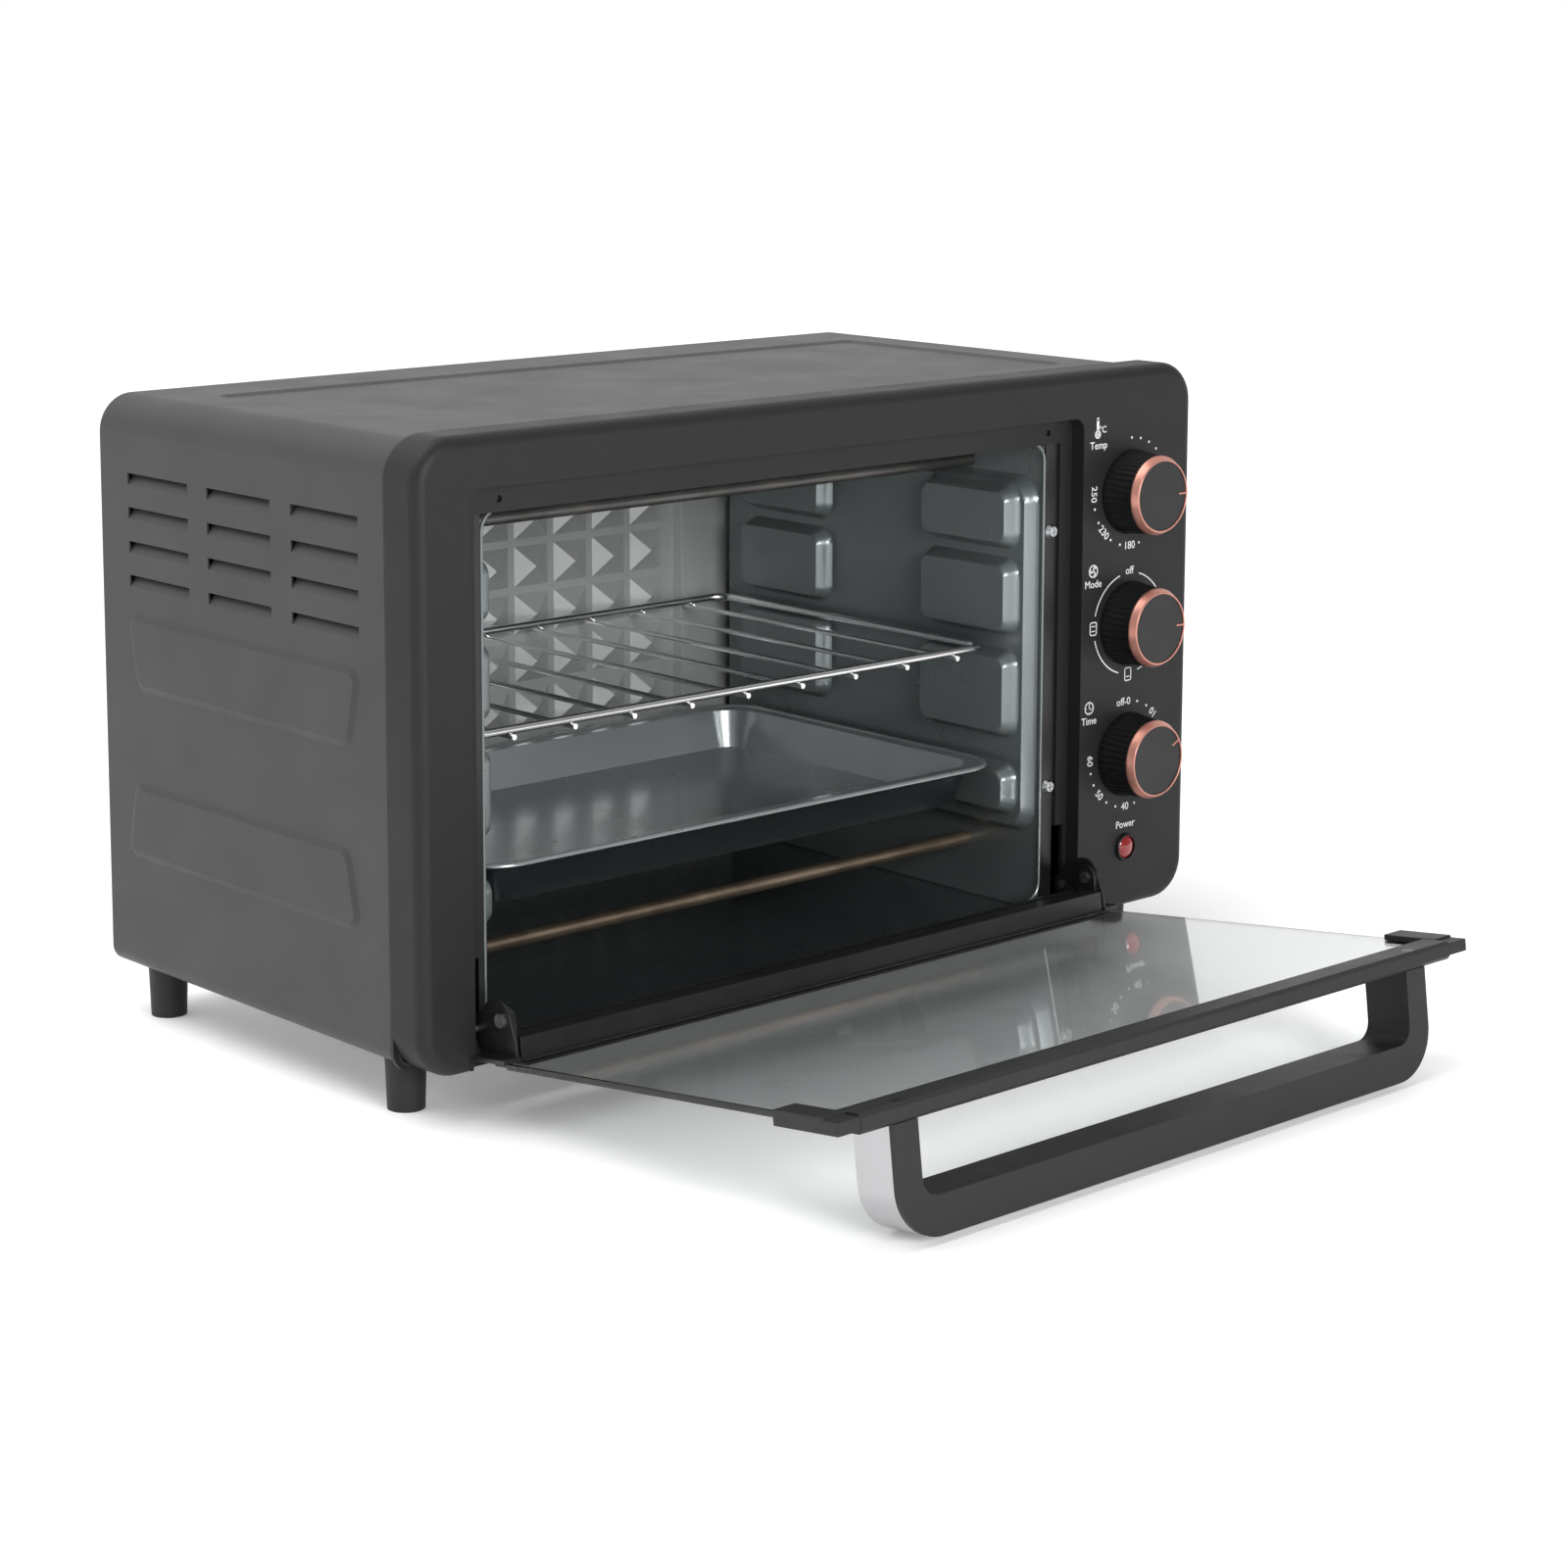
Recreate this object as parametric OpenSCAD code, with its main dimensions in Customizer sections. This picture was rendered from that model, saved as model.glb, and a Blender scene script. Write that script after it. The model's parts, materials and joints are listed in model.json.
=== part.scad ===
// Countertop toaster oven: sheet wrapper, moulded front frame, enamelled cavity,
// drop-down glass door, three rotary controls, wire rack and baking tray.
// Millimetres. X runs right as seen from the front, Y runs to the back, Z is up.
// The origin is at table level, under the middle of the body. The door is drawn open.

/* [Body] */
// Width of the sheet wrapper
body_w = 470; // [466:1:474]
// Height of the body, without its feet
body_h = 265; // [263:1:270]
// Depth of the body, from the front face to the back edge
body_d = 244; // [242:1:250]
// Height of the feet
foot_h = 23; // [20:1:26]
// Radius of the feet at the top
foot_r = 9; // [8:0.5:11]
// Radius of the wrapper's top corners
top_r = 17; // [14:1:19]
// Radius of the wrapper's bottom folds
fold_r = 8; // [6:1:9]
// Thickness of the wrapper, bottom and back sheets
sheet = 1; // [0.8:0.1:1.2]

/* [Front frame] */
// How far the front frame stands out past the wrapper
frame_lip = 2.5; // [2:0.5:3]
// Depth of the front frame
frame_d = 21; // [19:1:24]
// Radius of the frame's rolled front edge
frame_roll = 6; // [4:0.5:7]
// Thickness of the frame's front wall
frame_wall = 2.5; // [2:0.5:3]
// Left edge of the door recess, from the centre plane
recess_left = -210; // [-211:0.5:-209]
// Right edge of the door recess
recess_right = 158.5; // [158:0.5:160]
// Top edge of the door recess, above the bottom of the body
recess_top = 245; // [243:1:248]
// Depth of the door recess
recess_d = 8; // [8:0.5:9]

/* [Cavity] */
// Half the width of the cavity between its side walls
cavity_half = 170; // [169:0.5:171]
// Centre of the cavity, from the centre plane
cavity_x = -28; // [-28.5:0.5:-27.5]
// Height of the cavity ceiling
ceiling_z = 238; // [237:0.5:240]
// Height of the cavity floor
floor_z = 3; // [2.5:0.5:4]
// How far the side walls' middle panels are pressed in
press_d = 7; // [6:0.5:7]
// How far the rack supports stand out of the pressed panels
pad_d = 8; // [7:0.5:8]
// Height of the pyramids on the back wall
pyramid_h = 5; // [3:0.5:6]
// Radius of the heater tubes
heater_r = 3.25; // [3:0.25:3.5]

/* [Door] */
// Angle that the door turns from closed to open
open_angle = 83; // [82:0.5:85]
// Distance of the door's hinge axis behind the front face
hinge_y = 5.5; // [5:0.5:5.5]
// Height of the hinge axis above the bottom of the body
hinge_z = 16; // [15.5:0.5:17]
// Half the width of the glass
glass_half = 184; // [182:1:185]
// Thickness of the glass
glass_t = 3; // [3:0.5:4]
// Distance of the rails' outer edge from the hinge axis
door_len = 233; // [230:1:236]
// Radius of the hinge pins
pin_r = 2; // [1.8:0.1:2.1]
// Half the width of the handle
handle_half = 161.5; // [155:0.5:165]

/* [Controls] */
// Centre line of the knobs, from the centre plane
knob_x = 192.5; // [190:0.5:196]
// Radius of the knobs at their base
knob_r = 21; // [19:0.5:22]
// Length of the knobs
knob_l = 21; // [18:0.5:24]
// Radius of the knob shafts
shaft_r = 3; // [2.5:0.25:3]

/* [Rack and tray] */
// Half the width of the rack and of the tray
rack_half = 159; // [158:0.5:160]
// Front edge of the rack, from the front face
rack_y = 34; // [28:1:36]
// Depth of the rack
rack_d = 197; // [180:1:198]
// Radius of the rack's frame wire
wire_r = 2; // [1.75:0.25:2.25]
// Front edge of the tray
tray_y = 23; // [21:1:30]
// Depth of the tray, front to back
tray_d = 197; // [180:1:200]

/* [Hidden] */

$fn = 48;
eps = 0.01;                      // overlap that makes cuts clean
run_gap = 0.05;                  // radial gap of a running fit
charcoal = [0.20, 0.20, 0.21];
enamel = [0.24, 0.28, 0.28];
jet = [0.05, 0.05, 0.055];
steel = [0.75, 0.76, 0.77];
rose_gold = [0.80, 0.52, 0.44];

frame_w = body_w + 2 * frame_lip;
frame_h = body_h + 2 * frame_lip - 0.5;
frame_z = body_h / 2 + 0.25;     // middle height of the front frame
frame_r = top_r + frame_lip;
recess_x = (recess_left + recess_right) / 2;
recess_w = recess_right - recess_left;
recess_r = 6;
ledge = 8;                       // width of the door seat round the cavity opening
ledge_t = 1.5;
opening_top = recess_top - 12;
opening_bottom = 8;
flange_y = recess_d + ledge_t;   // front of the cavity's steel flange
skin = 0.8;                      // enamelled sheet of the cavity
wall_x = cavity_half;            // outer planes of the side walls, from the cavity's centre
back_y = body_d - 8;             // rim of the cavity's back wall
heater_y = 60;
heater_zs = [31, 221];

vent_z = 231.5;                  // top edge of the first row of vents
vent_pitch_z = 15.5;
vent_pitch_y = 64.2;
vent_l = 48.8;
vent_h = 5.4;
vent_y = 221.2;                  // back end of the rearmost column

foot_x = 220;
foot_ys = [36, 221];
foot_screw_r = 2;

// Screws round the edge of the back cover, clear of the cavity, and the mains gland
back_screws_at = [[-222, 12], [222, 12], [-222, 252], [-75, 252], [75, 252], [222, 252]];
gland = [185, 40];
gland_r = 7;

door_x = recess_x;
glass_n = 11.9;                  // distance of the glass from the hinge axis, when closed
rail_half = glass_half + 6.5;
ear_gap = 4;                     // from the recess's side wall to an ear
ear_t = 1.5;
ear_x = recess_w / 2 - ear_gap;  // outer face of an ear, from the door's centre
tab_t = 2.2;                     // thickness of the hinge rail's end tabs
rivet_n = 4.7;
rivet_v = 18.1;
rivet_r = 1.9;
cap_w = 12;                      // width of the outer rail's end caps
cap_v = 197;                     // where the caps start along the glass's side edges
handle_screw_x = handle_half - 6.5;
handle_screw_v = door_len - 4.6;
handle_v0 = door_len - 24;
handle_w = 13;
lip_v = door_len - 3.5;          // start of the lip that covers the trim's outer edge
grip_t = 16;
trim_t = 1.6;
handle_r = 22;
table_gap = 0.3;                 // the open handle just clears the table
handle_n = (foot_h + hinge_z + handle_v0 * cos(open_angle) - table_gap) / sin(open_angle);

knob_zs = [206.5, 141.5, 76];
ring_l = 4;                      // depth of the knobs' rings
ring_r = knob_r - 1.6;
ring_w = 2.5;
pointer_l = 4.6;
pointer_w = 1;
knob_turns = [90, 90, 62];       // how far each pointer stands clockwise from the top
lamp_z = 29;
lamp_r = 6.2;                    // radius of the power lamp's barrel
shield_x = 152;                  // sheet between the cavity and the control bay
shaft_y = 22;                    // inner end of the knob shafts

rack_z = 132.7;
cross_r = 1.25;
cross_pitch = 33.7;
tray_z = 76;                     // centre of the tray's rolled rim
tray_depth = 19;

// Cabinet frame: X from the centre plane, Y from the front face, Z from the body's bottom
module cabinet() { translate([0, -body_d / 2, foot_h]) children(); }

// Door frame: X from the door's centre, Y through its thickness, Z from the hinge upwards when
// closed
module door() {
    cabinet() translate([door_x, hinge_y, hinge_z]) rotate([open_angle, 0, 0]) children();
}

// Extrusions of a flat outline along Y and along X
module along_y(y, length) {
    translate([0, y + length, 0]) rotate([90, 0, 0]) linear_extrude(length) children();
}
module along_x(x, length) {
    translate([x, 0, 0]) rotate([90, 0, 90]) linear_extrude(length) children();
}
module cylinder_y(y, length, radius, tip = -1) {
    translate([0, y, 0]) rotate([-90, 0, 0])
        cylinder(h = length, r1 = radius, r2 = tip < 0 ? radius : tip);
}
module cylinder_x(x, length, radius) {
    translate([x, 0, 0]) rotate([0, 90, 0]) cylinder(h = length, r = radius);
}

// Rounded rectangle about the origin
module rounded(w, h, r) {
    square([w - 2 * r, h], center = true);
    square([w, h - 2 * r], center = true);
    for (x = [-1, 1], z = [-1, 1])
        translate([x * (w / 2 - r), z * (h / 2 - r)]) circle(r);
}

// Cross section of the body: large top corners, small bottom folds, bottom edge at zero
module body_outline(w, h, upper, lower) {
    translate([-w / 2 + upper, lower]) square([w - 2 * upper, h - lower]);
    translate([-w / 2, lower]) square([w, h - upper - lower]);
    translate([-w / 2 + lower, 0]) square([w - 2 * lower, h - upper]);
    for (x = [-1, 1]) {
        translate([x * (w / 2 - upper), h - upper]) circle(upper);
        translate([x * (w / 2 - lower), lower]) circle(lower);
    }
}

// A four-sided panel with tapered edges, pressed out along +Z, with its outline in X and Y
module pressed_panel(w_low, w_high, h, depth) {
    slope = 3;
    hull() {
        pressed_corners(w_low, w_high, h, 0);
        translate([0, 0, depth - eps]) pressed_corners(w_low, w_high, h, slope);
    }
}
module pressed_corners(w_low, w_high, h, inset) {
    corner = 7;
    for (side = [-1, 1], end = [-1, 1])
        translate([
            side * ((end < 0 ? w_low : w_high) / 2 - corner),
            end * (h / 2 - corner), 0
        ]) cylinder(h = eps, r = corner - inset, $fn = 24);
}

module vent_cuts() {
    for (column = [0:2], row = [0:3])
        translate([0, vent_y - vent_l - column * vent_pitch_y, vent_z - vent_h - row * vent_pitch_z])
            cube([8, vent_l, vent_h]);
}

// Blades behind the vents: flush at the lower edge of each slot and set back at the upper one
module vent_blades() {
    set_back = 3.2;
    for (column = [0:2], row = [0:3])
        translate([0, vent_y - vent_l - column * vent_pitch_y, vent_z - vent_h - row * vent_pitch_z])
            along_y(0, vent_l)
                polygon([[0, 0], [-sheet, 0], [-sheet - set_back, vent_h - 0.6],
                    [-set_back, vent_h - 0.6]]);
}

// Holes that the foot screws pass through
module foot_holes() {
    for (x = [-1, 1], y = foot_ys)
        translate([x * foot_x, y, -1]) cylinder(h = 6, r = foot_screw_r + 0.1);
}

// --- Cabinet ---

module wrapper() {
    lip = 22;
    top_panel = [396, 158];
    top_panel_y = 128;
    press = 1.2;                 // depth of the pressed panels
    color(charcoal) cabinet() {
        difference() {
            union() {
                along_y(frame_d, body_d - frame_d) difference() {
                    body_outline(body_w, body_h, top_r, fold_r);
                    translate([0, sheet])
                        body_outline(body_w - 2 * sheet, body_h - 2 * sheet, top_r - sheet,
                            fold_r - sheet);
                    translate([-body_w / 2 + lip, -eps]) square([body_w - 2 * lip, 3 * sheet]);
                }
                translate([-top_panel.x / 2, top_panel_y - top_panel.y / 2, body_h - sheet - press])
                    cube([top_panel.x, top_panel.y, press + sheet / 2]);
            }
            for (side = [-1, 1])
                translate([side * body_w / 2 - 4, 0, 0]) vent_cuts();
            translate([0, top_panel_y, body_h + eps]) rotate([180, 0, 0])
                pressed_panel(top_panel.x, top_panel.x, top_panel.y, press + eps);
            foot_holes();
        }
        translate([body_w / 2, 0, 0]) vent_blades();
        translate([-body_w / 2, 0, 0]) mirror([1, 0, 0]) vent_blades();
        for (side = [-1, 1]) {
            translate([side * (body_w / 2 - eps), 133.5, 149.8]) rotate([90, 0, side * 90])
                pressed_panel(168, 178, 35, press);
            translate([side * (body_w / 2 - eps), 136.5, 71.6]) rotate([90, 0, side * 90])
                pressed_panel(180, 170, 35.5, press);
        }
    }
}

module frame_block() {
    hull() for (x = [-1, 1], z = [-1, 1])
        translate([x * (frame_w / 2 - frame_r), 0, frame_z + z * (frame_h / 2 - frame_r)]) {
            cylinder_y(frame_roll, frame_d - frame_roll, frame_r);
            translate([0, frame_roll, 0]) rotate([90, 0, 0]) rotate_extrude()
                translate([frame_r - frame_roll, 0]) circle(frame_roll, $fn = 32);
        }
}

// The door recess's outline, open at the bottom and grown by a margin
module recess_outline(margin) {
    deep = recess_top + 20;
    translate([recess_x, recess_top - deep / 2])
        rounded(recess_w + 2 * margin, deep + 2 * margin, recess_r + margin);
}

// The slots that the door's ears swing through
module ear_slots() {
    slot = [6.6, 35];
    for (side = [-1, 1])
        translate([door_x + side * (ear_x - (ear_t + tab_t) / 2) - slot.x / 2, recess_d - 1, 10])
            cube([slot.x, 8, slot.y]);
}

module front_frame() {
    side_t = 1.5;
    color(charcoal) cabinet() difference() {
        union() {
            difference() {
                frame_block();
                along_y(frame_wall, frame_d) translate([0, frame_z])
                    rounded(frame_w - 4, frame_h - 4, frame_r - 2);
            }
            intersection() {
                along_y(frame_wall - 1, recess_d + ledge_t - frame_wall + 1)
                    recess_outline(side_t);
                translate([-frame_w / 2, 0, frame_z - frame_h / 2 + 1])
                    cube([frame_w, frame_d, frame_h - 2]);
            }
        }
        along_y(-1, recess_d + 1) recess_outline(0);
        translate([recess_left + ledge, 0, opening_bottom])
            cube([recess_w - 2 * ledge, frame_d, opening_top - opening_bottom]);
        ear_slots();
        for (x = [recess_left + 21, recess_right - 16.5])
            translate([x, 0, recess_top - 6.5]) cylinder_y(0, frame_d, 1.6);
        for (x = [recess_left, recess_right])
            translate([x, hinge_y, hinge_z]) cylinder_x(-3, 6, pin_r);
        for (z = knob_zs)
            translate([knob_x, 0, z]) cylinder_y(-1, frame_d, shaft_r + 1.5);
        translate([knob_x, 0, lamp_z]) cylinder_y(-1, frame_d, lamp_r + 0.1);
    }
}

module back_cover() {
    gap = sheet + 0.2;
    color(charcoal) cabinet() difference() {
        along_y(body_d - 2, sheet) translate([0, gap])
            body_outline(body_w - 2 * gap, body_h - 2 * gap, top_r - gap, fold_r - gap);
        for (column = [0:6], row = [0:4])
            translate([60 + column * 20, 0, 150 + row * 12]) along_y(body_d - 3, 4)
                rounded(14, 4, 1.9);
        for (p = back_screws_at) translate([p.x, 0, p.y]) cylinder_y(body_d - 3, 4, 1.6);
        translate([gland.x, 0, gland.y]) cylinder_y(body_d - 3, 4, gland_r + 0.1);
    }
}

module back_screws() {
    color(steel) cabinet() for (p = back_screws_at) translate([p.x, 0, p.y]) {
        cylinder_y(body_d - 1, 1.8, 3.4, 2.2);
        cylinder_y(body_d - 9, 8, 1.5);
    }
}

module bottom_panel() {
    lip = 22;
    color([0.55, 0.56, 0.57]) cabinet() difference() {
        translate([-body_w / 2 + fold_r, frame_d, sheet])
            cube([body_w - 2 * fold_r, body_d - frame_d - 2.2, sheet]);
        for (column = [0:9], row = [0:1])
            translate([-170 + column * 38, 100 + row * 60, 0]) linear_extrude(4)
                rounded(24, 4, 1.9);
        foot_holes();
    }
}

module foot(side, row) {
    color(jet) cabinet() translate([side * foot_x, foot_ys[row], 0]) difference() {
        translate([0, 0, -foot_h]) cylinder(h = foot_h, r1 = foot_r - 0.8, r2 = foot_r);
        translate([0, 0, -foot_h - 1]) cylinder(h = 8, r = 4.2);
        translate([0, 0, -foot_h]) cylinder(h = foot_h + 1, r = foot_screw_r + 0.1);
    }
}
module foot_front_left() { foot(-1, 0); }
module foot_front_right() { foot(1, 0); }
module foot_rear_left() { foot(-1, 1); }
module foot_rear_right() { foot(1, 1); }

module foot_screws() {
    color(steel) cabinet() for (x = [-1, 1], y = foot_ys) translate([x * foot_x, y, 0]) {
        translate([0, 0, -foot_h + 4]) cylinder(h = 3, r = 3.6);
        translate([0, 0, -foot_h + 6]) cylinder(h = foot_h - 1, r = foot_screw_r);
    }
}

// --- Cavity ---

module cavity_flange() {
    flange_t = 1.2;
    color(jet) cabinet() difference() {
        translate([recess_left + 0.5, flange_y, opening_bottom - 6])
            cube([recess_w - 1, flange_t, opening_top - opening_bottom + 16]);
        translate([cavity_x - cavity_half, 0, opening_bottom])
            cube([2 * cavity_half, 40, ceiling_z - opening_bottom - 3]);
        ear_slots();
        for (z = flange_screw_zs) translate([flange_screw_x, 0, z]) cylinder_y(0, 30, 1.6);
    }
}
flange_screw_zs = [65, 190.5];
flange_screw_x = recess_right - ledge - 4.3;

module flange_screws() {
    head_r = 3.6;
    color(steel) cabinet() for (z = flange_screw_zs)
        translate([flange_screw_x, 0, z]) difference() {
            union() {
                cylinder_y(flange_y - 2, 2, head_r - 1.2, head_r);
                cylinder_y(flange_y, 6, 1.5);
            }
            translate([-0.4, flange_y - 3, -2]) cube([0.8, 1.8, 4]);
            translate([-2, flange_y - 3, -0.4]) cube([4, 1.8, 0.8]);
        }
}

// A raised rounded rectangle with sloped sides, centred on the origin and rising along Z
module raised_pad(w, h, corner, depth, slope) {
    rotate([90, 0, 0]) translate([0, 0, -h / 2 + corner])
        linear_extrude(h - 2 * corner) pad_section(w, depth, slope);
    rotate([90, 0, 90]) translate([0, 0, -w / 2 + corner])
        linear_extrude(w - 2 * corner) pad_section(h, depth, slope);
    for (x = [-1, 1], y = [-1, 1])
        translate([x * (w / 2 - corner), y * (h / 2 - corner), 0])
            cylinder(h = depth, r1 = corner, r2 = corner - slope);
}
module pad_section(w, depth, slope) {
    polygon([[-w / 2, 0], [w / 2, 0], [w / 2 - slope, depth], [-w / 2 + slope, depth]]);
}
pad_columns = [[19, 83], [151, 216]];
pad_rows = [[50, 75.8], [88, 132], [138.5, 177], [181, 213]];

// A side wall of the cavity. X runs front to back, Y up, Z into the cavity.
module side_wall() {
    y0 = flange_y + 1.2;
    panel_y = [16, 233];
    panel_z = [42, 216];
    size = [panel_y[1] - panel_y[0], panel_z[1] - panel_z[0]];
    middle = [(panel_y[0] + panel_y[1]) / 2, (panel_z[0] + panel_z[1]) / 2];
    slope = 3;
    difference() {
        union() {
            translate([y0, floor_z, -skin])
                cube([back_y - y0, ceiling_z - floor_z, skin]);
            translate([middle.x, middle.y, -skin / 2])
                raised_pad(size.x, size.y, 14, press_d + skin / 2, slope);
        }
        translate([middle.x, middle.y, -skin - eps])
            raised_pad(size.x - 2 * skin, size.y - 2 * skin, 13, press_d, slope);
        for (z = heater_zs) translate([heater_y, z, -5]) cylinder(h = 10, r = heater_r + 0.3);
    }
    for (c = pad_columns, r = pad_rows)
        translate([(c[0] + c[1]) / 2, (r[0] + r[1]) / 2, press_d - skin / 2])
            raised_pad(c[1] - c[0], r[1] - r[0], 8, pad_d + skin / 2, 2.5);
}
module cavity_left_wall() {
    color(enamel) cabinet() translate([cavity_x - wall_x, 0, 0]) rotate([90, 0, 90]) side_wall();
}
module cavity_right_wall() {
    color(enamel) cabinet() mirror([1, 0, 0]) translate([-cavity_x - wall_x, 0, 0])
        rotate([90, 0, 90]) side_wall();
}

// Teeth in a row with flat valleys, on a base that reaches below zero
module teeth(count, pitch) {
    half = count * pitch / 2;
    base = 0.5;
    valley = 0.2;
    foot = 0.42 * pitch;         // half the width of a tooth
    polygon(concat(
        [[half, valley], [half, -base], [-half, -base], [-half, valley]],
        [for (i = [0:count - 1], k = [-1:1])
            [-half + (i + 0.5) * pitch + k * foot, k == 0 ? pyramid_h : valley]]
    ));
}
module cavity_back_wall() {
    columns = 10;
    rows = 8;
    pitch = [25.2, 24.3];
    field_x = columns * pitch.x;
    field_z = rows * pitch.y;
    margin = 12;
    middle_z = 124;
    pan = 4;
    color(enamel) cabinet() translate([cavity_x, back_y, 0]) {
        difference() {
            translate([-wall_x, 0, floor_z]) cube([2 * wall_x, pan + skin, ceiling_z - floor_z]);
            translate([0, pan, middle_z]) rotate([90, 0, 0])
                raised_pad(field_x + margin, field_z + margin, 8, pan + eps, -3);
        }
        translate([0, pan, middle_z]) rotate([90, 0, 0]) intersection() {
            translate([0, field_z / 2, 0]) rotate([90, 0, 0]) linear_extrude(field_z)
                teeth(columns, pitch.x);
            translate([-field_x / 2, 0, 0]) rotate([90, 0, 90]) linear_extrude(field_x)
                teeth(rows, pitch.y);
        }
    }
}

module cavity_ceiling() {
    y0 = flange_y + 1.2;
    color(enamel) cabinet() translate([cavity_x - wall_x - skin, y0, ceiling_z])
        cube([2 * (wall_x + skin), back_y + 4.8 - y0, skin]);
}
module cavity_floor() {
    y0 = flange_y + 1.2;
    color(enamel) cabinet() translate([cavity_x - wall_x - skin, y0, floor_z - skin])
        cube([2 * (wall_x + skin), back_y + 4.8 - y0, skin]);
}

module heater(z) {
    color([0.45, 0.38, 0.32]) cabinet() translate([cavity_x, heater_y, z]) {
        cylinder_x(-wall_x - 12, 2 * wall_x + 24, heater_r);
        cylinder_x(-wall_x - 22, 2 * wall_x + 44, 1.2);
    }
}
module upper_heater() { heater(heater_zs[1]); }
module lower_heater() { heater(heater_zs[0]); }

module heater_insulators() {
    collar_r = 9;
    color([0.92, 0.91, 0.87]) cabinet() for (side = [-1, 1], z = heater_zs)
        translate([cavity_x + side * wall_x, heater_y, z]) rotate([0, side * 90, 0])
            translate([0, 0, skin]) difference() {
                union() {
                    cylinder(h = 2, r = collar_r);
                    cylinder(h = 8, r = collar_r - 3);
                }
                translate([0, 0, -1]) cylinder(h = 20, r = heater_r + run_gap);
            }
}

module hinge_pins() {
    color(steel) cabinet() translate([door_x, hinge_y, hinge_z]) for (side = [-1, 1])
        mirror([side < 0 ? 1 : 0, 0, 0]) {
            cylinder_x(recess_w / 2 - ear_gap - ear_t - 0.5, ear_gap + ear_t + 3, pin_r);
            cylinder_x(recess_w / 2 + 1.5, 1.5, pin_r + 0.9);
        }
}

// --- Control bay ---

module heat_shield() {
    color([0.62, 0.63, 0.64]) cabinet() difference() {
        translate([shield_x, 24, 6]) cube([skin, 205, 248]);
        for (i = [0:4]) translate([0, 70 + i * 32, 0]) along_x(shield_x - 1, 3)
            translate([0, 130]) rounded(8, 120, 3.9);
        for (z = heater_zs) translate([0, heater_y, z]) cylinder_x(shield_x - 1, 3, 6);
    }
}

// A rotary control behind the front wall: a bushing, a body and a bore for its shaft
module rotary_control(z, size) {
    cabinet() translate([knob_x, 0, z]) difference() {
        union() {
            cylinder_y(frame_wall, 6, 6);
            translate([-size.x / 2, frame_wall + 5, -size.z / 2]) cube(size);
        }
        cylinder_y(0, shaft_y + 0.3, shaft_r + run_gap);
    }
}
module thermostat() {
    color([0.85, 0.83, 0.76]) rotary_control(knob_zs[0], [38, 20, 26]);
}
module function_switch() {
    color([0.15, 0.15, 0.16]) rotary_control(knob_zs[1], [42, 24, 42]);
}
module timer_unit() {
    color(steel) rotary_control(knob_zs[2], [54, 26, 50]);
}
module timer_bell() {
    color(steel) cabinet() translate([knob_x, frame_wall + 33, knob_zs[2]]) {
        difference() {
            cylinder_y(0, 8, 19, 14);
            cylinder_y(-1, 8, 18, 13);
        }
        cylinder_y(-2, 10, 2);
    }
}

module lamp_bezel() {
    color(jet) cabinet() translate([knob_x, 0, lamp_z]) difference() {
        union() {
            cylinder_y(-1.8, 1.8, lamp_r + 0.4, lamp_r + 0.9);
            cylinder_y(0, 18, lamp_r);
        }
        cylinder_y(-3, 16, lamp_r - 0.6);
    }
}
module lamp_lens() {
    dome_r = 9;
    color([0.55, 0.05, 0.06]) cabinet() translate([knob_x, 0, lamp_z]) intersection() {
        cylinder_y(-4, 12, lamp_r - 0.65);
        translate([0, dome_r - 2.6, 0]) sphere(dome_r);
    }
}

module terminal_block() {
    color([0.90, 0.89, 0.84]) cabinet() difference() {
        translate([170, 196, 60]) cube([48, 16, 22]);
        for (i = [0:2], z = [66, 76]) translate([178 + i * 16, 190, z]) cylinder_y(0, 14, 2.4);
    }
    color([0.5, 0.5, 0.5]) cabinet() translate([166, 212, 56]) cube([56, sheet, 185]);
}

// Insulated leads between the controls, the heaters and the terminal block
module wiring() {
    lead_r = 1.4;
    color([0.80, 0.78, 0.70]) cabinet() {
        for (i = [0:2]) translate([184 + i * 8, 0, 84 + i * 2]) {
            cylinder_y(60 + i * 8, 126 - i * 8, lead_r);
            translate([0, 60 + i * 8, 0]) cylinder(h = 100 - i * 20, r = lead_r);
        }
        for (i = [0:1]) translate([162 + i * 5, 70 + i * 8, heater_zs[0]])
            cylinder(h = heater_zs[1] - heater_zs[0], r = lead_r);
    }
}

// Strain-relief gland in the back cover, where the mains lead enters
module cord_gland() {
    color(jet) cabinet() translate([gland.x, 0, gland.y]) difference() {
        union() {
            cylinder_y(body_d - 1, 1, gland_r + 2);
            cylinder_y(body_d - 9, 8, gland_r);
        }
        cylinder_y(body_d - 12, 20, 4);
    }
}

// --- Door ---

module door_glass() {
    color([0.55, 0.57, 0.58, 0.4]) door()
        translate([-glass_half, -glass_n - glass_t, 24]) cube([2 * glass_half, glass_t, 200]);
}

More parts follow.
